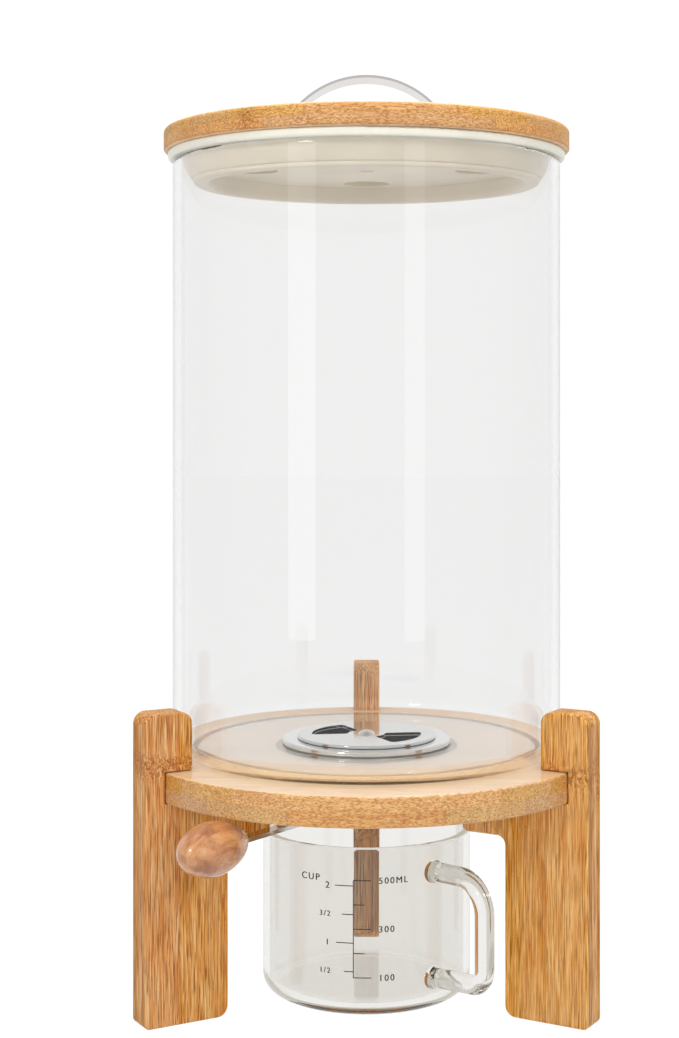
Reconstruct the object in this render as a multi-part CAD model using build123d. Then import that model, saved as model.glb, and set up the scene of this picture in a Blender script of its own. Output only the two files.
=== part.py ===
from build123d import *
import math
import os

# A grain and detergent dispenser: a glass jar on a three-legged bamboo stand,
# emptied by a rotary valve in the jar's floor into a glass measuring cup.
#
# Every length is in millimetres and every angle in degrees.  The origin is on
# the surface that the legs stand on, on the jar's axis.  +Z is up, the front
# of the object faces -Y, and an azimuth is counted from +X towards +Y.

# Bamboo stand
stand_height = 150.0
leg_thickness = 15.0
leg_outer_radius = 126.0
post_inner_radius = 101.0
foot_inner_radius = 82.0
bracket_inner_radius = 59.0
bracket_bottom = 87.5
leg_azimuths = {"leg_front_left": -150.0, "leg_front_right": -30.0, "leg_rear": 90.0}
tray_radius = 115.0
tray_thickness = 14.7
tray_top = 121.5
tray_hole_radius = 46.0
notch_clearance = 0.3
board_edge_radius = 1.0
post_corner_radius = 6.0
bracket_bend_radius = 4.5
foot_outer_corner_radius = 3.0
foot_inner_corner_radius = 5.5

# Screws that hold the legs to the tray
leg_screw_azimuths = list(leg_azimuths.values())
leg_screw_circle = 70.0
leg_screw_radius = 2.1
leg_screw_head_radius = 4.2
leg_screw_head_depth = 2.6
leg_screw_length = 29.0

# Glass jar
jar_radius = 98.9
jar_wall = 4.5
jar_height = 300.0
jar_floor = 3.6
jar_hole_radius = 34.0
jar_heel_radius = 9.0
jar_relief_outer_radius = 86.0
jar_relief_inner_radius = 45.0
jar_relief_depth = 0.4

# Rotary valve
flange_radius = 43.0
flange_thickness = 2.1
gasket_thickness = 0.6
gasket_inner_radius = 35.0
spout_outer_radius = 33.0
spout_inner_radius = 30.5
spout_bottom = 98.0
boss_radius = 9.0
boss_height = 7.0
bush_outer_radius = 6.5
bush_clearance = 0.05
port_inner_radius = 9.5
port_outer_radius = 28.0
port_width = 70.0
port_azimuths = (-28.0, 152.0)
port_corner_radius = 2.0
rotor_radius = 35.5
rotor_thickness = 1.3
rotor_seal_thickness = 0.25
rotor_seal_radius = 33.5
rotor_gap = 0.05
shaft_radius = 4.0
cap_nut_radius = 4.4
cap_nut_height = 1.9
clamp_nut_radius = 41.0
clamp_nut_height = 7.5
clamp_nut_notches = 8
clamp_washer_thickness = 1.0
lower_gasket_thickness = 1.2

# Lever under the tray
lever_azimuth = -125.6
lever_travel = 80.0
lever_height = 94.0
lever_width = 6.5
lever_thickness = 2.0
lever_hub_radius = 9.0
lever_square = 5.6
stop_bottom = 91.5
stop_width = 8.0
stop_clearance = 1.0
knob_start = 101.0
knob_crown = 123.0
knob_end = 142.0
knob_neck_radius = 4.6
knob_radius = 12.6
knob_insert_radius = 3.6
knob_insert_length = 20.0
stud_radius = 2.5

# Lid
board_radius = 103.4
board_thickness = 11.3
seal_radius = 101.2
seal_inner_radius = 86.0
seal_thickness = 4.3
seal_gap = 0.1
plug_radius = 94.0
plug_depth = 12.5
plug_wall = 2.3
plug_recess_radius = 80.5
plug_recess_depth = 8.0
pocket_circle = 58.0
pocket_radius = 12.5
pocket_azimuths = (0.0, 90.0, 180.0, 270.0)
handle_rise = 27.7
handle_radius = 48.0
handle_thickness = 1.3
handle_width = 20.0
handle_foot_end = 70.0
handle_screw_distance = 62.5

# Measuring cup
cup_radius = 53.0
cup_wall = 3.5
cup_height = 83.0
cup_floor = 4.5
cup_heel_radius = 9.0
cup_handle_azimuth = -51.5
cup_handle_radius = 90.0
cup_handle_roots = (69.0, 17.0)
cup_handle_corners = (71.5, 21.5)
cup_handle_rod_radius = 4.7
cup_handle_bends = (16.0, 9.0)

# Heights that follow from the driving dimensions
tray_bottom = tray_top - tray_thickness
jar_top = tray_top + jar_height
floor_top = tray_top + jar_floor
flange_bottom = floor_top + gasket_thickness
flange_top = flange_bottom + flange_thickness
rotor_bottom = flange_top + rotor_gap + rotor_seal_thickness
rotor_top = rotor_bottom + rotor_thickness
boss_bottom = flange_bottom - boss_height
board_bottom = jar_top + seal_gap + seal_thickness
board_top = board_bottom + board_thickness


def ring(outer, inner, bottom, top):
    """A flat ring about the Z axis between two heights."""
    height = top - bottom
    solid = Cylinder(outer, height) - Cylinder(inner, height)
    return Pos(0, 0, (bottom + top) / 2) * solid


def disc(radius, bottom, top, centre=(0.0, 0.0)):
    """A round plate or peg that stands on Z between two heights."""
    place = Pos(centre[0], centre[1], (bottom + top) / 2)
    return place * Cylinder(radius, top - bottom)


def on_circle(radius, azimuth):
    """The X and Y of a point at an azimuth on a circle about the Z axis."""
    angle = math.radians(azimuth)
    return radius * math.cos(angle), radius * math.sin(angle)


def round_corners(face, corners):
    """Round the corners of an outline that lie nearest to the given points."""
    for across, up, radius in corners:
        target = Vector(across, 0, up)
        nearest = min(face.vertices(), key=lambda vertex: (Vector(vertex) - target).length)
        face = fillet(nearest, radius)
    return face


def rim_edges(solid, radius, height):
    """The circular edges of one radius about the Z axis at one height."""
    circles = solid.edges().filter_by(GeomType.CIRCLE)
    return circles.filter_by(
        lambda edge: abs(edge.radius - radius) < 0.01 and abs(edge.center().Z - height) < 0.01
    )


def polar_copies(solid, azimuths):
    """Copies of a solid turned about the Z axis to each azimuth."""
    return [Rot(0, 0, azimuth) * solid for azimuth in azimuths]


# ---------------------------------------------------------------------------
# Stand
# ---------------------------------------------------------------------------


def make_leg(azimuth):
    """A flat bamboo board with a notch for the tray's rim, set on a radius."""
    notch_spine = tray_radius + notch_clearance
    notch_top = tray_top + notch_clearance
    outline = Polyline(
        (leg_outer_radius, 0, 0),
        (leg_outer_radius, 0, stand_height),
        (post_inner_radius, 0, stand_height),
        (post_inner_radius, 0, notch_top),
        (notch_spine, 0, notch_top),
        (notch_spine, 0, tray_bottom),
        (bracket_inner_radius, 0, tray_bottom),
        (bracket_inner_radius, 0, bracket_bottom),
        (foot_inner_radius, 0, bracket_bottom),
        (foot_inner_radius, 0, 0),
        close=True,
    )
    face = round_corners(
        make_face(outline),
        [
            (leg_outer_radius, 0, foot_outer_corner_radius),
            (leg_outer_radius, stand_height, post_corner_radius),
            (post_inner_radius, stand_height, post_corner_radius),
            (bracket_inner_radius, bracket_bottom, 3.0),
            (foot_inner_radius, bracket_bottom, bracket_bend_radius),
            (foot_inner_radius, 0, foot_inner_corner_radius),
        ],
    )
    leg = extrude(face, amount=leg_thickness / 2, both=True)
    leg = fillet(leg.faces().filter_by(Axis.Y).edges(), board_edge_radius)
    shank = disc(leg_screw_radius, bracket_bottom - 1, tray_bottom + 1, (leg_screw_circle, 0))
    sink = screw_head(leg_screw_head_radius, leg_screw_radius, leg_screw_head_depth)
    sink = Pos(leg_screw_circle, 0, bracket_bottom) * sink
    return Rot(0, 0, azimuth) * (leg - shank - sink)


def screw_head(head_radius, shank_radius, depth):
    """A countersunk head with its wide end down on Z = 0."""
    return Pos(0, 0, depth / 2) * Cone(head_radius, shank_radius, depth)


def make_leg_screws():
    """Countersunk wood screws, up through the leg's bracket into the tray."""
    head = screw_head(leg_screw_head_radius, leg_screw_radius, leg_screw_head_depth)
    socket = Box(4.6, 1.0, 2.4) + Box(1.0, 4.6, 2.4)
    tip_length = 4.0
    shank = disc(leg_screw_radius, leg_screw_head_depth, leg_screw_length - tip_length)
    tip = Cone(leg_screw_radius, 0.4, tip_length)
    tip = Pos(0, 0, leg_screw_length - tip_length / 2) * tip
    screw = Pos(leg_screw_circle, 0, bracket_bottom) * (head + shank + tip - socket)
    return Compound(children=polar_copies(screw, leg_screw_azimuths))


def make_stand_tray():
    """The round bamboo tray that the jar stands on, open for the valve."""
    tray = ring(tray_radius, tray_hole_radius, tray_bottom, tray_top)
    for radius in (tray_radius, tray_hole_radius):
        for height in (tray_bottom, tray_top):
            tray = fillet(rim_edges(tray, radius, height), board_edge_radius)
    screw_end = bracket_bottom + leg_screw_length
    pilot = disc(leg_screw_radius, tray_bottom - 1, screw_end, (leg_screw_circle, 0))
    for hole in polar_copies(pilot, leg_screw_azimuths):
        tray -= hole
    return tray


# ---------------------------------------------------------------------------
# Jar
# ---------------------------------------------------------------------------


def make_glass_jar():
    """A straight glass cylinder with a rounded heel and a hole in its floor.

    A shallow relief under the floor makes the jar rest on a ring near its heel.
    """
    outside = disc(jar_radius, tray_top, jar_top)
    outside = fillet(rim_edges(outside, jar_radius, tray_top), jar_heel_radius)
    inner_radius = jar_radius - jar_wall
    inside = disc(inner_radius, floor_top, jar_top + 1)
    inside = fillet(rim_edges(inside, inner_radius, floor_top), jar_heel_radius - 3)
    hole = disc(jar_hole_radius, tray_top - 1, floor_top + 1)
    relief_top = tray_top + jar_relief_depth
    relief = ring(jar_relief_outer_radius, jar_relief_inner_radius, tray_top - 1, relief_top)
    jar = outside - inside - hole - relief
    lip = rim_edges(jar, jar_radius, jar_top) + rim_edges(jar, inner_radius, jar_top)
    return fillet(lip, jar_wall * 0.48)


# ---------------------------------------------------------------------------
# Valve: the fixed half
# ---------------------------------------------------------------------------


def make_port(bottom, top, azimuth):
    """The space of one sector-shaped port, with rounded corners."""
    reach = 2 * port_outer_radius
    side = on_circle(reach, port_width / 2)
    wedge = make_face(Polyline((0, 0), (side[0], -side[1]), side, close=True))
    sector = (Circle(port_outer_radius) - Circle(port_inner_radius)) & wedge
    sector = fillet(sector.vertices(), port_corner_radius)
    return Rot(0, 0, azimuth) * Pos(0, 0, bottom) * extrude(sector, amount=top - bottom)


def make_stop(azimuth):
    """A tab on the spout's lower rim that the lever runs up against."""
    height = spout_bottom + 2 - stop_bottom
    width = stop_width
    depth = spout_outer_radius + 1
    block = Pos(depth / 2, 0, stop_bottom + height / 2) * Box(depth, width, height)
    rim = ring(spout_outer_radius, spout_inner_radius, stop_bottom, stop_bottom + height)
    return Rot(0, 0, azimuth) * (block & rim)


def make_valve_body():
    """Steel flange with two ports, a centre boss and a threaded spout."""
    flange = disc(flange_radius, flange_bottom, flange_top)
    flange = fillet(rim_edges(flange, flange_radius, flange_top), 0.9)
    spout = ring(spout_outer_radius, spout_inner_radius, spout_bottom, flange_bottom)
    boss = disc(boss_radius, boss_bottom, flange_bottom)
    body = flange + spout + boss
    # The lever's edge stops short of each tab by the stop clearance.
    mean_radius = (spout_outer_radius + spout_inner_radius) / 2
    reach = (stop_width + lever_width) / 2 + stop_clearance
    swing = math.degrees(math.asin(reach / mean_radius))
    body += make_stop(lever_azimuth - swing)
    body += make_stop(lever_azimuth + lever_travel + swing)
    for azimuth in port_azimuths:
        body -= make_port(flange_bottom - 1, flange_top + 1, azimuth)
    return body - disc(bush_outer_radius, boss_bottom - 1, flange_top + 1)


def make_clamp_nut():
    """Ring nut on the spout's thread, with notches round it for a wrench."""
    top = tray_top - lower_gasket_thickness - clamp_washer_thickness
    bottom = top - clamp_nut_height
    nut = ring(clamp_nut_radius, spout_outer_radius, bottom, top)
    notch = disc(3.0, bottom - 1, top - 2, (clamp_nut_radius + 0.6, 0))
    step = 360 / clamp_nut_notches
    for cut in polar_copies(notch, [index * step for index in range(clamp_nut_notches)]):
        nut -= cut
    return nut


def make_shaft_bush():
    """Plastic sleeve in the boss that the shaft turns in."""
    bore = shaft_radius + bush_clearance
    return ring(bush_outer_radius, bore, boss_bottom, flange_top)


# ---------------------------------------------------------------------------
# Valve: the turning half
# ---------------------------------------------------------------------------


def make_rotor_plate(radius, bottom, top):
    """A round plate with the two ports and the shaft's square hole."""
    plate = disc(radius, bottom, top)
    height = top - bottom
    square = Pos(0, 0, (bottom + top) / 2) * Box(lever_square, lever_square, 2 * height)
    for azimuth in port_azimuths:
        plate -= make_port(bottom - 1, top + 1, azimuth)
    return plate - Rot(0, 0, lever_azimuth) * square


def make_rotor_disc():
    """The polished steel disc that opens and closes the ports."""
    plate = make_rotor_plate(rotor_radius, rotor_bottom, rotor_top)
    return fillet(rim_edges(plate, rotor_radius, rotor_top), 0.6)


def make_rotor_shaft():
    """Shaft from the rotor down to the lever, square where each is driven."""
    collar_top = boss_bottom - 2.4
    collar = disc(7.0, collar_top - 1.8, collar_top)
    lever_top = lever_height + lever_thickness / 2
    lever_bottom = lever_height - lever_thickness / 2
    plain = disc(shaft_radius, lever_top, flange_top)
    upper_square = Pos(0, 0, (flange_top + rotor_top) / 2) * Box(
        lever_square, lever_square, rotor_top - flange_top
    )
    lower_square = Pos(0, 0, lever_height) * Box(lever_square, lever_square, lever_thickness)
    squares = Rot(0, 0, lever_azimuth) * (upper_square + lower_square)
    upper_stub = disc(stud_radius, rotor_top, rotor_top + 1.1)
    lower_stub = disc(stud_radius, lever_bottom - 5.4, lever_bottom)
    return plain + collar + squares + upper_stub + lower_stub


def make_cap_nut():
    """Low domed nut that holds the rotor on the shaft."""
    sphere_radius = (cap_nut_radius**2 + cap_nut_height**2) / (2 * cap_nut_height)
    ball = Pos(0, 0, rotor_top + cap_nut_height - sphere_radius) * Sphere(sphere_radius)
    dome = ball & disc(cap_nut_radius, rotor_top, rotor_top + cap_nut_height + 1)
    return dome - disc(stud_radius, rotor_top - 1, rotor_top + 1.1)


def make_thrust_spring():
    """Dished spring washer between the shaft's collar and the boss."""
    bottom = boss_bottom - 2.4
    profile = Polyline(
        (4.3, 0, bottom + 1.4),
        (4.3, 0, bottom + 2.2),
        (7.4, 0, bottom + 0.8),
        (7.4, 0, bottom),
        (7.0, 0, bottom),
        close=True,
    )
    return revolve(make_face(profile), Axis.Z)


def make_lever_bar():
    """Flat steel lever: an eye on the shaft's square and a stud for the knob."""
    eye = Cylinder(lever_hub_radius, lever_thickness)
    bar = Pos(knob_start / 2, 0, 0) * Box(knob_start, lever_width, lever_thickness)
    stud_length = knob_insert_length - 1
    stud = Rot(0, 90, 0) * Cylinder(stud_radius, stud_length)
    stud = Pos(knob_start + stud_length / 2, 0, 0) * stud
    square = Box(lever_square, lever_square, 2 * lever_thickness)
    lever = eye + bar + stud - square
    return Pos(0, 0, lever_height) * Rot(0, 0, lever_azimuth) * lever


def make_lever_nut():
    """Hexagon nut that holds the lever on the shaft."""
    top = lever_height - lever_thickness / 2 - 1.0
    height = 4.0
    hexagon = RegularPolygon(5.0, 6, major_radius=False)
    nut = Pos(0, 0, top - height) * extrude(hexagon, amount=height)
    return nut - disc(stud_radius, top - height - 1, top + 1)


def make_lever_knob():
    """Egg-shaped wooden knob, thin end towards the shaft."""
    swell = (knob_crown, 0, knob_radius)
    neck = (knob_start, 0, knob_neck_radius)
    flank = TangentArc(swell, neck, tangent=(-1, 0, 0))
    nose = Plane.XZ * EllipticalCenterArc(
        (knob_crown, 0), knob_end - knob_crown, knob_radius, start_angle=0, arc_size=90
    )
    axis_line = Polyline(neck, (knob_start, 0, 0), (knob_end, 0, 0))
    knob = revolve(make_face([nose, flank, axis_line]), Axis.X)
    bore = along_lever(knob_insert_radius, knob_start, knob_start + knob_insert_length)
    return at_lever(knob - bore)


def make_knob_insert():
    """Brass threaded bush in the knob's thin end."""
    outside = along_lever(knob_insert_radius, knob_start, knob_start + knob_insert_length)
    inside = along_lever(stud_radius, knob_start, knob_start + knob_insert_length - 1)
    return at_lever(outside - inside)


def along_lever(radius, start, end):
    """A round bar along the lever's own X axis, between two radii."""
    bar = Rot(0, 90, 0) * Cylinder(radius, end - start)
    return Pos((start + end) / 2, 0, 0) * bar


def at_lever(solid):
    """Move a solid from the lever's own frame to its place on the object."""
    return Pos(0, 0, lever_height) * Rot(0, 0, lever_azimuth) * solid


# ---------------------------------------------------------------------------
# Lid
# ---------------------------------------------------------------------------


def make_lid_board():
    """The round bamboo board on top of the lid."""
    board = disc(board_radius, board_bottom, board_top)
    board = fillet(rim_edges(board, board_radius, board_top), 2.4)
    board = fillet(rim_edges(board, board_radius, board_bottom), 1.4)
    for azimuth in (0, 180):
        centre = on_circle(handle_screw_distance, azimuth)
        board -= disc(1.8, board_top - 8, board_top + 1, centre)
    for azimuth in pocket_azimuths:
        centre = on_circle(pocket_circle, azimuth)
        board -= disc(1.6, board_bottom - 1, board_bottom + 6, centre)
    return board


def make_lid_seal():
    """Silicone ring between the board and the jar's rim."""
    bottom = board_bottom - seal_thickness
    seal = ring(seal_radius, seal_inner_radius, bottom, board_bottom)
    seal = fillet(rim_edges(seal, seal_radius, bottom), 1.7)
    return fillet(rim_edges(seal, seal_radius, board_bottom), 1.2)


def make_lid_insert():
    """Moulded plug that fills the jar's mouth, dished below, hollow above."""
    top = board_bottom - seal_thickness
    bottom = top - plug_depth
    groove = bottom + 2.6
    ceiling = bottom + plug_recess_depth
    outline = [
        Line((0, 0, ceiling), (0, 0, top)),
        Line((0, 0, top), (plug_radius, 0, top)),
        ThreePointArc(
            (plug_radius, 0, top),
            (plug_radius - 1.5, 0, (top + groove) / 2),
            (plug_radius - 4.6, 0, groove),
        ),
        Line((plug_radius - 4.6, 0, groove), (plug_radius - 5.6, 0, groove - 0.5)),
        ThreePointArc(
            (plug_radius - 5.6, 0, groove - 0.5),
            (plug_radius - 5.9, 0, bottom + 0.6),
            (plug_radius - 7.5, 0, bottom),
        ),
        Line((plug_radius - 7.5, 0, bottom), (plug_recess_radius + 1, 0, bottom)),
        ThreePointArc(
            (plug_recess_radius + 1, 0, bottom),
            (plug_recess_radius, 0, bottom + 0.8),
            (plug_recess_radius - 1, 0, bottom + 2.4),
        ),
        Line((plug_recess_radius - 1, 0, bottom + 2.4), (plug_recess_radius - 3, 0, ceiling)),
        Line((plug_recess_radius - 3, 0, ceiling), (0, 0, ceiling)),
    ]
    plug = revolve(make_face(outline), Axis.Z)
    hollow_floor = ceiling + plug_wall
    hollow = disc(plug_recess_radius + 2, hollow_floor, top + 1)
    rim_hollow = ring(
        plug_radius - 6 - plug_wall / 2,
        plug_recess_radius + 1.5,
        bottom + plug_wall,
        top + 1,
    )
    plug = plug - hollow - rim_hollow
    for azimuth in pocket_azimuths:
        centre = on_circle(pocket_circle, azimuth)
        plug += disc(pocket_radius + plug_wall, ceiling, board_bottom, centre)
        pocket = disc(pocket_radius, ceiling - 1, board_bottom - plug_wall, centre)
        plug -= pocket + disc(1.6, ceiling, board_bottom + 1, centre)
    gate = disc(3.5, ceiling - 1, ceiling + 0.4)
    return plug - gate


def pan_screw(head_radius, shank_radius, length):
    """A pan-head screw, head above Z = 0 and its shank below."""
    head_height = head_radius * 0.6
    head = disc(head_radius, 0, head_height)
    head = fillet(rim_edges(head, head_radius, head_height), head_height * 0.7)
    socket = Box(head_radius * 1.1, 0.9, 2.4) + Box(0.9, head_radius * 1.1, 2.4)
    socket = Pos(0, 0, head_height) * socket
    tip = Pos(0, 0, -length + 1) * Cone(0.4, shank_radius, 2)
    return head + disc(shank_radius, 2 - length, 0) + tip - socket


def make_insert_screws():
    """Pan-head screws, up through the plug's pockets into the board."""
    screw = Rot(180, 0, 0) * pan_screw(3.6, 1.6, 8.0)
    seat = board_bottom - plug_wall
    screws = polar_copies(Pos(pocket_circle, 0, seat) * screw, pocket_azimuths)
    return Compound(children=screws)


def make_lid_handle():
    """Arched steel strip with a flat foot at each end."""
    centre = Pos(0, board_top + handle_rise - handle_radius)
    arch = centre * (Circle(handle_radius) - Circle(handle_radius - handle_thickness))
    arch -= Pos(0, board_top - handle_radius) * Rectangle(4 * handle_radius, 2 * handle_radius)
    # The arch meets the lid where its inner circle crosses the board's top.
    drop = handle_radius - handle_rise
    foot_start = math.sqrt((handle_radius - handle_thickness) ** 2 - drop**2)
    foot_length = handle_foot_end - foot_start
    foot = Rectangle(foot_length, handle_thickness)
    foot_centre = foot_start + foot_length / 2
    foot_middle = board_top + handle_thickness / 2
    strip = arch + Pos(foot_centre, foot_middle) * foot + Pos(-foot_centre, foot_middle) * foot
    strip = Plane.XZ * strip
    bend_drop = drop + handle_thickness
    bend = math.sqrt(handle_radius**2 - bend_drop**2)
    strip = round_corners(
        strip,
        [
            (foot_start, board_top, 3.6),
            (-foot_start, board_top, 3.6),
            (bend, board_top + handle_thickness, 2.4),
            (-bend, board_top + handle_thickness, 2.4),
        ],
    )
    handle = extrude(strip, amount=handle_width / 2, both=True)
    for azimuth in (0, 180):
        centre_point = on_circle(handle_screw_distance, azimuth)
        handle -= disc(2.1, board_top - 1, board_top + 3, centre_point)
    ends = handle.edges().filter_by(Axis.Z).filter_by(
        lambda edge: abs(abs(edge.center().X) - handle_foot_end) < 0.01
    )
    return fillet(ends, 5.0)


def make_handle_screws():
    """Pan-head screws, down through the handle's feet into the board."""
    screw = pan_screw(3.6, 1.8, 8.6)
    seat = board_top + handle_thickness
    screws = polar_copies(Pos(handle_screw_distance, 0, seat) * screw, (0, 180))
    return Compound(children=screws)


# ---------------------------------------------------------------------------
# Measuring cup
# ---------------------------------------------------------------------------


def make_measuring_cup():
    """Glass cup with a bent glass rod fused to its side as a handle."""
    outside = disc(cup_radius, 0, cup_height)
    outside = fillet(rim_edges(outside, cup_radius, 0), cup_heel_radius)
    inner_radius = cup_radius - cup_wall
    inside = disc(inner_radius, cup_floor, cup_height + 1)
    inside = fillet(rim_edges(inside, inner_radius, cup_floor), cup_heel_radius - 3)
    cup = outside - inside
    lip = rim_edges(cup, cup_radius, cup_height) + rim_edges(cup, inner_radius, cup_height)
    cup = fillet(lip, cup_wall * 0.48)
    root = cup_radius - cup_wall / 2
    path = FilletPolyline(
        (root, 0, cup_handle_roots[0]),
        (cup_handle_radius, 0, cup_handle_corners[0]),
        (cup_handle_radius, 0, cup_handle_corners[1]),
        (root, 0, cup_handle_roots[1]),
        radius=list(cup_handle_bends),
    )
    section = Plane(path @ 0, z_dir=path % 0) * Circle(cup_handle_rod_radius)
    rod = sweep(section, path)
    flare_length = 5.0
    flare = Cone(cup_handle_rod_radius + 1.6, cup_handle_rod_radius, flare_length)
    for height in cup_handle_roots:
        rod += Pos(root + flare_length / 2, 0, height) * Rot(0, 90, 0) * flare
    return cup + Rot(0, 0, cup_handle_azimuth) * rod


# ---------------------------------------------------------------------------
# Every piece, by the name of its node
# ---------------------------------------------------------------------------


def make_pieces():
    """All the object's pieces in their places."""
    pieces = {name: make_leg(azimuth) for name, azimuth in leg_azimuths.items()}
    pieces["stand_tray"] = make_stand_tray()
    pieces["leg_screws"] = make_leg_screws()
    pieces["glass_jar"] = make_glass_jar()
    pieces["valve_body"] = make_valve_body()
    pieces["upper_gasket"] = ring(flange_radius - 1.5, gasket_inner_radius, floor_top, flange_bottom)
    washer_top = tray_top - lower_gasket_thickness
    pieces["lower_gasket"] = ring(clamp_nut_radius, spout_outer_radius, washer_top, tray_top)
    pieces["clamp_washer"] = ring(
        clamp_nut_radius, spout_outer_radius, washer_top - clamp_washer_thickness, washer_top
    )
    pieces["clamp_nut"] = make_clamp_nut()
    pieces["shaft_bush"] = make_shaft_bush()
    pieces["rotor_disc"] = make_rotor_disc()
    pieces["rotor_seal"] = make_rotor_plate(
        rotor_seal_radius, rotor_bottom - rotor_seal_thickness, rotor_bottom
    )
    pieces["rotor_shaft"] = make_rotor_shaft()
    pieces["rotor_cap_nut"] = make_cap_nut()
    pieces["thrust_spring"] = make_thrust_spring()
    pieces["lever_bar"] = make_lever_bar()
    lever_bottom = lever_height - lever_thickness / 2
    pieces["lever_washer"] = ring(5.6, stud_radius, lever_bottom - 1.0, lever_bottom)
    pieces["lever_nut"] = make_lever_nut()
    pieces["lever_knob"] = make_lever_knob()
    pieces["knob_insert"] = make_knob_insert()
    pieces["lid_board"] = make_lid_board()
    pieces["lid_seal"] = make_lid_seal()
    pieces["lid_insert"] = make_lid_insert()
    pieces["insert_screws"] = make_insert_screws()
    pieces["lid_handle"] = make_lid_handle()
    pieces["handle_screws"] = make_handle_screws()
    pieces["measuring_cup"] = make_measuring_cup()
    return pieces


os.makedirs("parts", exist_ok=True)
for node, piece in make_pieces().items():
    export_step(piece, f"parts/{node}.step")
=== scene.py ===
import bmesh
import bpy
import math

from mathutils import Matrix, Vector


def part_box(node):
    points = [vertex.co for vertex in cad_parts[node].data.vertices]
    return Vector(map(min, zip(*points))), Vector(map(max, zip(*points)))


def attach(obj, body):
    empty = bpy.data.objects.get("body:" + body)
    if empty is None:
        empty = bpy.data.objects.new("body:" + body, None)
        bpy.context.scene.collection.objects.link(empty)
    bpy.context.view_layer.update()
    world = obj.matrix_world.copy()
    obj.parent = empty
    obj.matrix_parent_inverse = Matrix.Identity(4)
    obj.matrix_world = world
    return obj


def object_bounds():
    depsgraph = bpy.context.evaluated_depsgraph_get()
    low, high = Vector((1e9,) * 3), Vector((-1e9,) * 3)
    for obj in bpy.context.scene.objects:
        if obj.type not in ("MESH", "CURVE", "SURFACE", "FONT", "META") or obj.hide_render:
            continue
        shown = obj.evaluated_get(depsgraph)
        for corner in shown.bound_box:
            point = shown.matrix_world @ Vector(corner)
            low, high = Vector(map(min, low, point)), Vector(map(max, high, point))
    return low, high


# Looks for the grain dispenser: glass jar and cup, laminated bamboo stand and
# lid, polished valve, varnished knob.  Lengths are in metres.

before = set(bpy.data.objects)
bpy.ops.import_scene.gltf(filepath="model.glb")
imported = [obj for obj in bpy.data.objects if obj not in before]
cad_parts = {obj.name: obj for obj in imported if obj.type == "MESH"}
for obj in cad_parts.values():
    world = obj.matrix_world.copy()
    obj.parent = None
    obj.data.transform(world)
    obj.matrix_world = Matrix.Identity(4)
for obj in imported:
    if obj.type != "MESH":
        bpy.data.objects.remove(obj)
cad_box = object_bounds()


# ---------------------------------------------------------------------------
# Material helpers
# ---------------------------------------------------------------------------


class Shader:
    """The nodes of a material or a world, with short ways to add and join them."""

    def __init__(self, name, world=False):
        self.owner = bpy.data.worlds.new(name) if world else bpy.data.materials.new(name)
        self.owner.use_nodes = True
        self.tree = self.owner.node_tree
        self.tree.nodes.clear()
        self.output = self.tree.nodes.new("ShaderNodeOutputWorld" if world else "ShaderNodeOutputMaterial")

    def node(self, kind, sockets=None, **settings):
        """Add a node; sockets maps an input's name to a value or an output to link."""
        made = self.tree.nodes.new("ShaderNode" + kind)
        for setting, value in settings.items():
            setattr(made, setting, value)
        for name, value in (sockets or {}).items():
            self.feed(made.inputs[name], value)
        return made

    def feed(self, socket, value):
        """Link an output to a socket, or set the socket's own value."""
        if isinstance(value, bpy.types.NodeSocket):
            self.tree.links.new(value, socket)
        else:
            socket.default_value = value

    def math(self, operation, first, second=0.0, third=0.0, clamp=False):
        """A Math node's result."""
        sockets = {0: first, 1: second, 2: third}
        return self.node("Math", sockets, operation=operation, use_clamp=clamp).outputs[0]

    def remap(self, value, low, high, to_low=0.0, to_high=1.0):
        """A value mapped from one range to another and clamped to it."""
        sockets = {"Value": value, "From Min": low, "From Max": high, "To Min": to_low, "To Max": to_high}
        return self.node("MapRange", sockets).outputs["Result"]

    def blend(self, factor, first, second):
        """Two colours mixed by a factor."""
        made = self.node("Mix", data_type="RGBA")
        self.feed(made.inputs[0], factor)
        self.feed(made.inputs[6], first)
        self.feed(made.inputs[7], second)
        return made.outputs[2]

    def times(self, first, second):
        """The product of two values."""
        return self.math("MULTIPLY", first, second)

    def vector(self, first, second, third):
        """A vector from its three parts."""
        return self.node("CombineXYZ", {0: first, 1: second, 2: third}).outputs[0]

    def parts(self, source):
        """The three parts of a vector."""
        return self.node("SeparateXYZ", {0: source}).outputs

    def noise(self, coordinates, scale, detail=2.0, roughness=0.5, distortion=0.0):
        """A noise texture's value."""
        sockets = {
            "Vector": coordinates,
            "Scale": scale,
            "Detail": detail,
            "Roughness": roughness,
            "Distortion": distortion,
        }
        return self.node("TexNoise", sockets).outputs["Fac"]

    def finish(self, surface):
        """Join a shader to the output and give the material or the world."""
        self.tree.links.new(surface, self.output.inputs["Surface"])
        return self.owner


def colour(red, green, blue):
    """An opaque colour from screen values between 0 and 255."""
    def linear(value):
        value /= 255
        return value / 12.92 if value <= 0.04045 else ((value + 0.055) / 1.055) ** 2.4
    return (linear(red), linear(green), linear(blue), 1.0)


def darker(base, share):
    """A colour with its light cut down to a share."""
    return tuple(share * part for part in base[:3]) + (1.0,)


# ---------------------------------------------------------------------------
# Wood
# ---------------------------------------------------------------------------

STRAW = colour(233, 174, 102)
HONEY = colour(213, 143, 72)
CREAM = colour(250, 212, 150)
FIBRE_BROWN = colour(146, 80, 32)
CUT_STRAW = colour(226, 182, 118)
PAINTED_SHEEN_PALE = colour(252, 230, 198)
ROW_STAGGER = 0.41         # of a strip's width between two layers
KNOT_SPREAD = 10.0         # millimetres over which the knots of a board are spread along it
KNOT_HALF_LENGTH = 5.5     # millimetres
KNOT_SWERVE = 7.0          # millimetres across, at most, for a fibre at a knot
GLUE_LINE = 0.012          # of a strip's width


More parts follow.
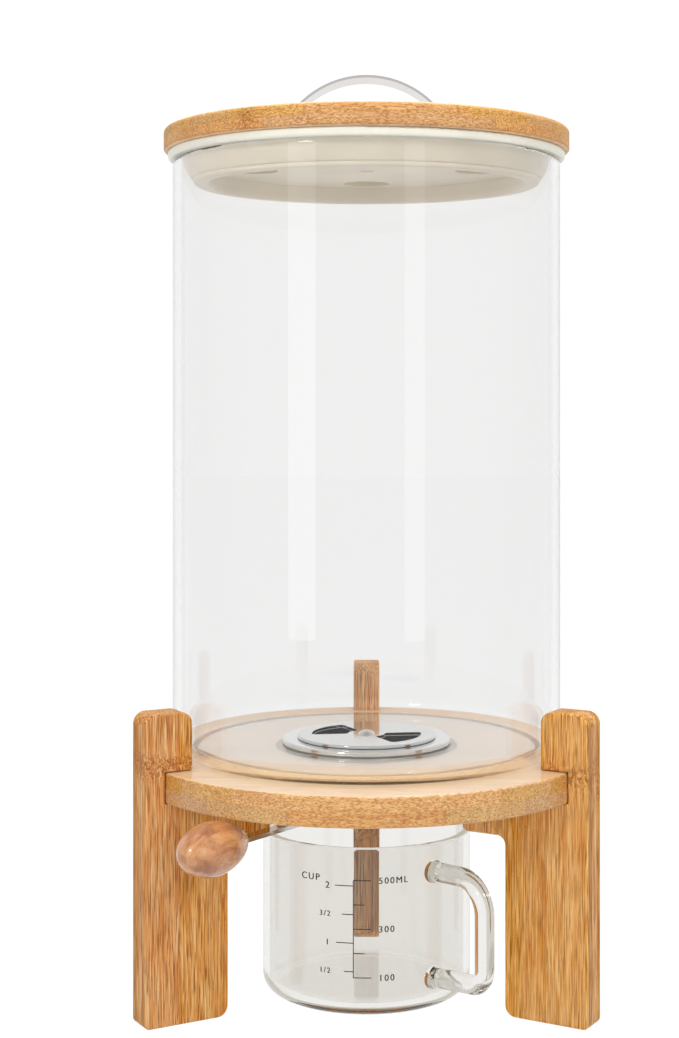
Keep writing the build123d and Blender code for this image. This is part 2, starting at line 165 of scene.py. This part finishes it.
def board_axes(shader, source, azimuth, along):
    """A vector's parts along the grain, across a strip and through the layers."""
    turned = shader.node("VectorRotate", {"Vector": source, "Angle": -math.radians(azimuth)}).outputs[0]
    parts = shader.parts(turned)
    if along == "Z":
        return parts[2], parts[0], parts[1]
    return parts[0], parts[1], parts[2]


def strip_cells(shader, across, depth, strip, layer, origin, seed):
    """The place across the strips, counted in strips, and the chances of the strip there."""
    row = shader.math("FLOOR", shader.math("DIVIDE", shader.math("SUBTRACT", depth, origin[1]), layer))
    stagger = shader.math("MULTIPLY_ADD", row, strip * ROW_STAGGER, -origin[0])
    strip_place = shader.math("DIVIDE", shader.math("ADD", across, stagger), strip)
    cell = shader.vector(shader.math("FLOOR", strip_place), row, seed)
    chance = shader.node("TexWhiteNoise", {"Vector": cell}, noise_dimensions="3D").outputs
    return strip_place, chance


def knot_band(shader, grain, knot, chance):
    """How near a point is to its strip's knot, from 0 to 1."""
    middle = shader.math("MULTIPLY_ADD", chance, KNOT_SPREAD, knot - KNOT_SPREAD / 2)
    from_knot = shader.math("DIVIDE", shader.math("SUBTRACT", grain, middle), KNOT_HALF_LENGTH)
    squared = shader.times(from_knot, from_knot)
    return shader.math("EXPONENT", shader.times(squared, -1.0))


def swerve_at_knot(shader, grain, across, depth, band):
    """The place across the board, moved where the fibres swerve round a knot."""
    at = shader.vector(shader.times(grain, 0.30), shader.times(across, 0.55), depth)
    swerve = shader.math("SUBTRACT", shader.noise(at, 1.0, 2.0), 0.5)
    return shader.math("MULTIPLY_ADD", shader.times(swerve, band), KNOT_SWERVE, across)


def fibre_colour(shader, streaks, fine, flat_face, dotted):
    """The wood's colour: broad tones, pale streaks, and brown lines or, on cut edges, dots."""
    broad = streaks(4.2, 90.0, 2.0)
    pale = streaks(0.95, 30.0, 2.0)
    dots = streaks(0.62, 1.9, 1.0)
    cut_edge = shader.times(shader.math("SUBTRACT", 1.0, flat_face), dotted)
    body = shader.blend(shader.remap(broad, 0.35, 0.65), STRAW, HONEY)
    body = shader.blend(shader.remap(pale, 0.50, 0.61, 0.0, 0.72), body, CREAM)
    body = shader.blend(shader.times(cut_edge, 0.5), body, CUT_STRAW)
    ends = shader.times(shader.remap(dots, 0.48, 0.60, 0.0, 0.55), cut_edge)
    lines = shader.remap(fine, 0.50, 0.61, 0.0, 0.78)
    lines = shader.times(lines, shader.math("MULTIPLY_ADD", cut_edge, -0.75, 1.0))
    return shader.blend(shader.math("MAXIMUM", lines, ends), body, FIBRE_BROWN)


def bamboo(name, azimuth, along, strip, layer, origin, knot, seed, varnish=0.0, dotted=0.0, gloss=0.12):
    """Laminated bamboo: strips and layers of fibres, with a knot band in each strip.

    strip, layer and knot are millimetres; origin is where a strip and a layer
    start; varnish is how strong the clear coat is and gloss the wood's own shine;
    dotted is how much the cut edges show the ends of the fibres and how much
    painted sheen pales the flat sides.
    """
    shader = Shader(name)
    place = shader.node("TexCoord").outputs
    sized = shader.node("VectorMath", {0: place["Object"], "Scale": 1000.0}, operation="SCALE").outputs[0]
    grain, across, depth = board_axes(shader, sized, azimuth, along)
    facing = board_axes(shader, place["Normal"], azimuth, along)[2]
    flat_face = shader.remap(shader.math("ABSOLUTE", facing), 0.6, 0.9)

    strip_place, chance = strip_cells(shader, across, depth, strip, layer, origin, seed)
    tone = chance["Value"]
    other = shader.node("SeparateColor", {0: chance["Color"]}).outputs
    band = knot_band(shader, grain, knot, other[0])
    bent = swerve_at_knot(shader, grain, across, depth, band)
    shift = shader.times(tone, 300.0)

    def streaks(width, length, detail):
        """Noise drawn out along the grain."""
        drawn = shader.math("MULTIPLY_ADD", grain, 1.0 / length, shift)
        at = shader.vector(drawn, shader.times(bent, 1.0 / width), shader.times(depth, 1.0 / width))
        return shader.noise(at, 1.0, detail, 0.55)

    fine = streaks(0.62, 17.0, 2.0)
    body = fibre_colour(shader, streaks, fine, flat_face, dotted)

    # Short brown specks crowd in the knot band.
    speckle_at = shader.vector(shader.times(grain, 0.5), shader.times(bent, 1.3), depth)
    speckle = shader.remap(shader.noise(speckle_at, 1.0, 2.0), 0.46, 0.60)
    body = shader.blend(shader.times(shader.times(speckle, band), 0.8), body, FIBRE_BROWN)

    # The flat sides of a dotted board are painted paler than its cut edges: painted sheen, the white
    # surroundings mirrored in them.
    body = shader.blend(shader.times(flat_face, 0.62 * dotted), body, PAINTED_SHEEN_PALE)

    # Each strip has its own depth of colour; a thin glue line parts two strips.
    tint = shader.node("HueSaturation", {
        "Hue": shader.remap(other[1], 0.0, 1.0, 0.494, 0.503),
        "Saturation": shader.remap(other[2], 0.0, 1.0, 0.94, 1.1),
        "Value": shader.remap(tone, 0.0, 1.0, 0.88, 1.06),
        "Color": body,
    }).outputs[0]
    line = shader.remap(shader.math("PINGPONG", strip_place, 0.5), 0.0, GLUE_LINE, 0.35, 0.0)
    tint = shader.blend(line, tint, FIBRE_BROWN)

    height = shader.math("MULTIPLY_ADD", fine, -1.0, shader.times(line, -1.5))
    bump = shader.node("Bump", {"Height": height, "Distance": 0.0001, "Strength": 0.3}).outputs[0]
    surface = shader.node("BsdfPrincipled", {
        "Base Color": tint,
        "Roughness": shader.remap(fine, 0.3, 0.7, 0.42, 0.56),
        "Specular IOR Level": gloss,
        "Normal": bump,
        "Coat Weight": varnish,
        "Coat Roughness": 0.2,
    })
    return shader.finish(surface.outputs[0])


def varnished_wood(name, azimuth):
    """Reddish wood with dark figure along an azimuth, under a thick clear varnish."""
    shader = Shader(name)
    place = shader.node("TexCoord").outputs["Object"]
    along, across, up = board_axes(shader, place, azimuth, "X")
    rings_at = shader.vector(shader.times(along, 22.0), shader.times(across, 210.0), shader.times(up, 150.0))
    rings = shader.noise(rings_at, 1.0, 3.0, 0.55, 0.8)
    cloud = shader.noise(place, 95.0, 2.0)
    pore_across = shader.times(across, 2600.0)
    pores_at = shader.vector(shader.times(along, 120.0), pore_across, shader.times(up, 2600.0))
    pores = shader.remap(shader.noise(pores_at, 1.0, 2.0), 0.55, 0.72, 0.0, 0.5)
    body = shader.blend(shader.remap(rings, 0.38, 0.66), colour(212, 152, 98), colour(176, 108, 61))
    body = shader.blend(shader.remap(cloud, 0.50, 0.66, 0.0, 0.75), body, colour(142, 76, 40))
    body = shader.blend(pores, body, colour(120, 62, 34))
    surface = shader.node("BsdfPrincipled", {
        "Base Color": body,
        "Roughness": shader.remap(rings, 0.3, 0.7, 0.3, 0.42),
        "Coat Weight": 1.0,
        "Coat Roughness": 0.04,
    })
    return shader.finish(surface.outputs[0])


# ---------------------------------------------------------------------------
# Glass, steel, plastic and ink
# ---------------------------------------------------------------------------


def clear_glass(name, tint, index, trapped_tint, trapped_depth):
    """Clear glass, a little darker where it is seen edge on.

    Rays from lamps pass straight through. So do rays that have bounced more than
    trapped_depth times, and each surface they then meet gives them the trapped tint,
    painted light that stands in for the light they would bring.
    """
    shader = Shader(name)
    place = shader.node("TexCoord").outputs["Object"]
    waves = shader.node("Bump", {
        "Height": shader.noise(place, 9.0, 1.0),
        "Distance": 0.0004,
        "Strength": 0.15,
    }).outputs[0]
    facing = shader.node("LayerWeight", {"Blend": 0.5}).outputs["Facing"]
    outline = shader.remap(facing, 0.80, 1.0)
    glass = shader.node("BsdfPrincipled", {
        "Base Color": shader.blend(outline, tint, darker(tint, 0.45)),
        "Roughness": 0.0,
        "IOR": index,
        "Transmission Weight": 1.0,
        "Normal": waves,
    })
    path = shader.node("LightPath").outputs
    trapped = shader.math("GREATER_THAN", path["Ray Depth"], trapped_depth)
    seen_through = shader.blend(path["Is Shadow Ray"], trapped_tint, (0.98, 0.98, 0.97, 1.0))
    straight = shader.node("BsdfTransparent", {"Color": seen_through})
    factor = shader.math("MAXIMUM", path["Is Shadow Ray"], trapped)
    mixed = shader.node("MixShader", {0: factor, 1: glass.outputs[0], 2: straight.outputs[0]})
    return shader.finish(mixed.outputs[0])


def inside_bore(shader, place, bore):
    """1 inside a bore on the vertical axis, given by its radius and its mouth's height."""
    radius, mouth = bore
    parts = shader.parts(place)
    flat = shader.vector(parts[0], parts[1], 0.0)
    from_axis = shader.node("VectorMath", {0: flat}, operation="LENGTH").outputs["Value"]
    near_axis = shader.math("LESS_THAN", from_axis, radius)
    below_mouth = shader.math("LESS_THAN", parts[2], mouth)
    return shader.times(near_axis, below_mouth)


def steel(name, base, roughness, scratch, stretch=(1.0, 1.0, 1.0), bore=None):
    """Bare metal with fine wear in its roughness and, stretched, a brushed grain.

    Inside a bore the colour is painted nearly black, as painted shade.
    """
    shader = Shader(name)
    place = shader.node("TexCoord").outputs["Object"]
    at = shader.node("Mapping", {"Vector": place, "Scale": stretch}).outputs[0]
    brushed = shader.noise(at, 900.0, 3.0, 0.6)
    smudge = shader.noise(place, 60.0, 3.0)
    rough = shader.math("MULTIPLY_ADD", brushed, scratch, roughness - scratch / 2)
    rough = shader.math("MULTIPLY_ADD", smudge, 0.06, shader.math("SUBTRACT", rough, 0.03, clamp=True))
    bump = shader.node("Bump", {"Height": brushed, "Distance": 0.00002, "Strength": 0.2}).outputs[0]
    look = shader.blend(smudge, base, darker(base, 0.94))
    if bore:
        # Painted shade: the colour goes nearly black inside the bore, below its mouth.
        painted_bore_shade = shader.times(inside_bore(shader, place, bore), 0.85)
        look = shader.blend(painted_bore_shade, look, (0.03, 0.03, 0.03, 1.0))
    surface = shader.node("BsdfPrincipled", {
        "Base Color": look,
        "Metallic": 1.0,
        "Roughness": rough,
        "Normal": bump,
    })
    return shader.finish(surface.outputs[0])


def moulded(name, base, roughness, glow_through=0.0):
    """Moulded plastic or rubber with a fine texture and slight unevenness."""
    shader = Shader(name)
    place = shader.node("TexCoord").outputs["Object"]
    cloud = shader.noise(place, 35.0, 3.0)
    fine = shader.noise(place, 1400.0, 2.0)
    bump = shader.node("Bump", {"Height": fine, "Distance": 0.00003, "Strength": 0.25}).outputs[0]
    surface = shader.node("BsdfPrincipled", {
        "Base Color": shader.blend(shader.remap(cloud, 0.35, 0.65), base, darker(base, 0.93)),
        "Roughness": shader.remap(fine, 0.3, 0.7, roughness - 0.05, roughness + 0.05),
        "Subsurface Weight": glow_through,
        "Subsurface Scale": 0.004,
        "Subsurface Radius": (1.0, 0.9, 0.75),
        "Normal": bump,
    })
    return shader.finish(surface.outputs[0])


def printed_ink():
    """Nearly black enamel fired onto the glass, slightly uneven."""
    shader = Shader("printed_ink_look")
    place = shader.node("TexCoord").outputs["Object"]
    speck = shader.noise(place, 3000.0, 2.0)
    surface = shader.node("BsdfPrincipled", {
        "Base Color": shader.blend(speck, colour(8, 7, 6), colour(28, 25, 22)),
        "Roughness": shader.remap(speck, 0.3, 0.7, 0.35, 0.55),
    })
    return shader.finish(surface.outputs[0])


# ---------------------------------------------------------------------------
# Looks of the CAD pieces
# ---------------------------------------------------------------------------


def dress(nodes, material):
    """Give CAD pieces their material."""
    for name in nodes:
        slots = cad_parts[name].material_slots
        for slot in slots:
            slot.link = "OBJECT"
            slot.material = material


LEG_AZIMUTHS = {"leg_front_left": -150.0, "leg_front_right": -30.0, "leg_rear": 90.0}
KNOT_HEIGHTS = {"leg_front_left": 127.0, "leg_front_right": 119.0, "leg_rear": 60.0}
LEVER_AZIMUTH = -125.6
OUT_OF_REACH = 400.0              # a knot here falls outside the board
# Where painted shade darkens the inside of the valve's bore.
VALVE_BORE = (0.0308, 0.1270)     # radius and height of the mouth
BRIGHT_STEEL = (0.80, 0.80, 0.79, 1.0)
POLISHED_STEEL = (0.72, 0.72, 0.71, 1.0)
SATIN_STEEL = (0.70, 0.70, 0.69, 1.0)
WARM_STEEL = (0.66, 0.63, 0.61, 1.0)
ZINC = (0.66, 0.67, 0.68, 1.0)
BRASS = (0.78, 0.60, 0.30, 1.0)


def dress_wood():
    """Bamboo legs, tray and lid, and the varnished knob."""
    for number, (leg, azimuth) in enumerate(LEG_AZIMUTHS.items()):
        look = bamboo(leg + "_look", azimuth, "Z", strip=22.0, layer=5.0, origin=(82.0, -7.5),
                      knot=KNOT_HEIGHTS[leg], seed=3.0 + number)
        dress([leg], look)
    tray = bamboo("tray_look", 0.0, "X", strip=21.5, layer=7.35, origin=(-109.2, 106.8),
                  knot=OUT_OF_REACH, seed=11.0, varnish=0.7, dotted=1.0, gloss=0.3)
    dress(["stand_tray"], tray)
    lid = bamboo("lid_board_look", 4.0, "X", strip=22.0, layer=5.65, origin=(-110.0, 425.9),
                 knot=-62.0, seed=23.0, dotted=1.0)
    dress(["lid_board"], lid)
    dress(["lever_knob"], varnished_wood("varnished_wood_look", LEVER_AZIMUTH))


def dress_metal():
    """The valve, the lever, the lid's handle and the small hardware."""
    dress(["rotor_disc", "rotor_cap_nut", "lever_bar"],
          steel("polished_steel_look", POLISHED_STEEL, 0.09, 0.04))
    dress(["rotor_shaft", "thrust_spring", "lever_washer", "lever_nut", "clamp_washer"],
          steel("satin_steel_look", SATIN_STEEL, 0.28, 0.12))
    dress(["valve_body"], steel("valve_steel_look", BRIGHT_STEEL, 0.09, 0.04, bore=VALVE_BORE))
    dress(["lid_handle"], steel("handle_steel_look", WARM_STEEL, 0.14, 0.08, stretch=(1.0, 0.05, 1.0)))
    dress(["leg_screws", "insert_screws", "handle_screws"], steel("zinc_look", ZINC, 0.24, 0.1))
    dress(["knob_insert"], steel("brass_look", BRASS, 0.25, 0.1))


def dress_glass():
    """The jar and, a little warmer, the cup."""
    # Each trapped tint is painted light standing in for rays caught in the glass; the cup's dark brownish
    # one is painted shade on its thick edges.
    dress(["glass_jar"], clear_glass("jar_glass_look", (0.945, 0.945, 0.943, 1.0), 1.50,
                                     trapped_tint=(0.95, 0.95, 0.94, 1.0), trapped_depth=6.5))
    dress(["measuring_cup"], clear_glass("cup_glass_look", (0.870, 0.860, 0.832, 1.0), 1.45,
                                         trapped_tint=(0.56, 0.53, 0.45, 1.0), trapped_depth=5.5))


def dress_plastic():
    """The lid's plug, the seals and the valve's plastic parts."""
    dress(["lid_insert"], moulded("lid_plastic_look", colour(233, 222, 203), 0.42, glow_through=0.2))
    dress(["lid_seal"], moulded("lid_silicone_look", colour(246, 243, 228), 0.36, glow_through=0.3))
    dress(["upper_gasket", "lower_gasket", "rotor_seal"], moulded("gasket_look", colour(205, 205, 200), 0.5))
    dress(["clamp_nut", "shaft_bush"], moulded("nut_plastic_look", colour(216, 215, 210), 0.45))


dress_wood()
dress_metal()
dress_glass()
dress_plastic()


# ---------------------------------------------------------------------------
# Measuring scale printed on the cup, laid out flat in millimetres: X runs to
# the right from the cup's front, Y is the height above the floor
# ---------------------------------------------------------------------------

CUP_RADIUS = -1000.0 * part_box("measuring_cup")[0][0]
SCALE_LINE = -6.4
LINE_WIDTH = 0.45
LINE_PIECE = 1.5
INK_GAP = 0.02
INK_THICKNESS = 0.04
MILLILITRE_ZERO, MILLILITRE_STEP = 8.5, 11.77
CUP_ZERO, CUP_STEP = 9.3, 13.85
CAPITAL_SHARE = 0.73     # of the font's size is a capital's height
DOUBLE_STRIKE = 0.17     # every letter is laid down twice, this far apart, to make it bolder
CUP_MARKS = (("1/2", -11.0, 2.7), ("1", -15.0, 3.0), ("3/2", -12.1, 2.7), ("2", -15.6, 3.3))
ODD_TICK_END, EVEN_TICK_END = 2.2, -1.0
MILLILITRE_LEFT, MILLILITRE_SIZE = 5.8, 3.2
CUP_LEFT, LETTER_WIDTH = -19.0, 1.6
HEADING_LEFT, HEADING_SIZE, HEADING_RISE = -34.0, 3.4, 0.6


def add_bar(flat, left, right, low, high):
    """A printed bar, cut into pieces so that it bends round the cup."""
    pieces = max(1, round((right - left) / LINE_PIECE))
    columns = []
    for number in range(pieces + 1):
        across = left + (right - left) * number / pieces
        columns.append([flat.verts.new((across, low, 0.0)), flat.verts.new((across, high, 0.0))])
    for first, second in zip(columns, columns[1:]):
        flat.faces.new((first[0], second[0], second[1], first[1]))


def add_tick(flat, left, right, height):
    """A level mark of the scale."""
    add_bar(flat, left, right, height - LINE_WIDTH / 2, height + LINE_WIDTH / 2)


def add_letters(flat, text, size, left, middle):
    """Lettering that starts at left and is centred on a height."""
    curve = bpy.data.curves.new("letters", "FONT")
    curve.body = text
    curve.size = size / CAPITAL_SHARE
    curve.space_character = 1.3
    holder = bpy.data.objects.new("letters", curve)
    outline = bpy.data.meshes.new_from_object(holder)
    outline.transform(Matrix.Translation((left, middle - size / 2, 0.0)))
    flat.from_mesh(outline)
    outline.transform(Matrix.Translation((DOUBLE_STRIKE, 0.0, 0.0)))
    flat.from_mesh(outline)
    bpy.data.meshes.remove(outline)
    bpy.data.objects.remove(holder)
    bpy.data.curves.remove(curve)


def make_cup_scale():
    """The cup's printed scale: millilitres on the right of a line, cups on its left."""
    flat = bmesh.new()
    bottom = MILLILITRE_ZERO + MILLILITRE_STEP
    top = MILLILITRE_ZERO + 5 * MILLILITRE_STEP
    add_bar(flat, SCALE_LINE - LINE_WIDTH / 2, SCALE_LINE + LINE_WIDTH / 2, bottom, top)
    for hundreds in range(1, 6):
        height = MILLILITRE_ZERO + hundreds * MILLILITRE_STEP
        if hundreds % 2 == 0:
            add_tick(flat, SCALE_LINE, EVEN_TICK_END, height)
            continue
        add_tick(flat, SCALE_LINE, ODD_TICK_END, height)
        unit = "ML" if hundreds == 5 else ""
        add_letters(flat, str(100 * hundreds) + unit, MILLILITRE_SIZE, MILLILITRE_LEFT, height)
    for number, (label, reach, size) in enumerate(CUP_MARKS):
        height = CUP_ZERO + (number + 1) * CUP_STEP
        add_tick(flat, reach, SCALE_LINE, height)
        add_letters(flat, label, size, CUP_LEFT - LETTER_WIDTH * len(label), height)
    add_letters(flat, "CUP", HEADING_SIZE, HEADING_LEFT, top + HEADING_RISE)
    bmesh.ops.remove_doubles(flat, verts=flat.verts[:], dist=0.001)
    for vertex in flat.verts:
        angle = vertex.co.x / CUP_RADIUS
        radius = CUP_RADIUS + INK_GAP
        height = vertex.co.y
        vertex.co = Vector((radius * math.sin(angle), -radius * math.cos(angle), height)) / 1000
    bmesh.ops.recalc_face_normals(flat, faces=flat.faces[:])
    bmesh.ops.solidify(flat, geom=flat.faces[:], thickness=INK_THICKNESS / 1000)
    mesh = bpy.data.meshes.new("cup_scale_print")
    flat.to_mesh(mesh)
    flat.free()
    mesh.materials.append(printed_ink())
    piece = bpy.data.objects.new("cup_scale_print", mesh)
    bpy.context.scene.collection.objects.link(piece)
    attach(piece, "cup")


make_cup_scale()


# ---------------------------------------------------------------------------
# Studio: floor, world, lamps and camera
# ---------------------------------------------------------------------------

SEEN = 1.05              # what the camera sees of the floor and the backdrop
BACKDROP_LIGHT = 1.0     # what glass and metal show of the side behind the object
ROOM_LIGHT = 0.80        # what they show of the other sides
FILL_LIGHT = 0.42        # what lights matt surfaces from all round
FLOOR_BOUNCE = 0.72      # what lights them from below
FLOOR_ALBEDO = 0.02
FLOOR_HALF = 6.0
FLOOR_DROP = 0.0005      # keeps the floor clear of the feet
FAN_START = 0.4          # behind the axis of the object, where the floor's directions are counted from
WHITE = (1.0, 1.0, 1.0, 1.0)


def surround_strength(shader, backwards, diffuse_light):
    """Brightness of the surroundings for the ray that asks, from how far back it points."""
    path = shader.node("LightPath").outputs
    strength = shader.remap(backwards, 0.62, 0.88, ROOM_LIGHT, BACKDROP_LIGHT)
    for ray, light in (("Is Diffuse Ray", diffuse_light), ("Is Camera Ray", SEEN)):
        change = shader.math("SUBTRACT", light, strength)
        strength = shader.math("MULTIPLY_ADD", path[ray], change, strength)
    return strength


def make_floor():
    """A wide pale floor that stays white to the eye and lights the object only a little."""
    mesh = bpy.data.meshes.new("floor")
    signs = ((-1, -1), (1, -1), (1, 1), (-1, 1))
    corners = [(side * FLOOR_HALF, back * FLOOR_HALF, -FLOOR_DROP) for side, back in signs]
    mesh.from_pydata(corners, [], [(0, 1, 2, 3)])
    floor = bpy.data.objects.new("floor", mesh)
    bpy.context.scene.collection.objects.link(floor)
    shader = Shader("floor_look")
    place = shader.node("TexCoord").outputs["Object"]
    ahead = shader.node("VectorMath", {0: place, 1: (0.0, FAN_START, 0.0)}, operation="ADD").outputs[0]
    direction = shader.node("VectorMath", {0: ahead}, operation="NORMALIZE").outputs[0]
    backwards = shader.parts(direction)[1]
    paper = shader.node("BsdfDiffuse", {"Color": (FLOOR_ALBEDO, FLOOR_ALBEDO, FLOOR_ALBEDO, 1.0)})
    strength = surround_strength(shader, backwards, FLOOR_BOUNCE)
    strength = shader.math("SUBTRACT", strength, FLOOR_ALBEDO)
    glow = shader.node("Emission", {"Color": WHITE, "Strength": strength})
    both = shader.node("AddShader", {0: paper.outputs[0], 1: glow.outputs[0]})
    mesh.materials.append(shader.finish(both.outputs[0]))


def make_world():
    """White surroundings: a bright backdrop behind the object and a dimmer room around it."""
    shader = Shader("studio", world=True)
    backwards = shader.parts(shader.node("TexCoord").outputs["Generated"])[1]
    strength = surround_strength(shader, backwards, FILL_LIGHT)
    surroundings = shader.node("Background", {"Color": WHITE, "Strength": strength})
    bpy.context.scene.world = shader.finish(surroundings.outputs[0])


def make_lamp(name, place, size, power, mirrored=False, seen_through=False):
    """A softbox that points at the object's middle.

    mirrored says if shiny surfaces show it, and seen_through if it shows through glass.
    """
    lamp = bpy.data.lights.new(name, "AREA")
    lamp.shape = "RECTANGLE"
    lamp.size, lamp.size_y = size
    lamp.energy = power
    middle = (cad_box[0] + cad_box[1]) / 2
    holder = bpy.data.objects.new(name, lamp)
    holder.location = place
    holder.rotation_euler = (middle - Vector(place)).to_track_quat("-Z", "Y").to_euler()
    holder.visible_glossy = mirrored
    holder.visible_transmission = seen_through
    bpy.context.scene.collection.objects.link(holder)


def make_lamps():
    """Soft light from above and in front, two strips that shine in the glass, and a small window."""
    make_lamp("top_softbox", (0.05, -0.15, 1.35), (0.9, 0.9), 12.0)
    make_lamp("front_softbox", (0.45, -1.45, 0.8), (0.9, 0.9), 7.0)
    make_lamp("left_strip", (-0.88, -1.21, 0.35), (0.42, 1.3), 2.4, mirrored=True)
    make_lamp("right_strip", (0.67, -1.34, 0.35), (0.30, 1.3), 1.3, mirrored=True)
    make_lamp("small_window", (-0.8, -1.15, 0.85), (0.20, 0.26), 2.5, mirrored=True, seen_through=True)


CAMERA_PLACE = (0.0, -0.949, 0.302)
FOCAL_LENGTH = 64.2      # millimetres
SENSOR = 36.0            # millimetres along the longer side of the picture
SHIFT_RIGHT = -0.026
SHIFT_UP = -0.1185


def make_camera():
    """Level camera in front of the jar, framed by shifting the lens."""
    lens = bpy.data.cameras.new("camera")
    lens.lens = FOCAL_LENGTH
    lens.sensor_width = SENSOR
    lens.shift_x = SHIFT_RIGHT
    lens.shift_y = SHIFT_UP
    lens.clip_start = 0.01
    camera = bpy.data.objects.new("camera", lens)
    camera.location = CAMERA_PLACE
    camera.rotation_euler = (math.radians(90), 0.0, 0.0)
    bpy.context.scene.collection.objects.link(camera)
    bpy.context.scene.camera = camera


bpy.context.scene.view_settings.view_transform = "Standard"
make_floor()
make_world()
make_lamps()
make_camera()
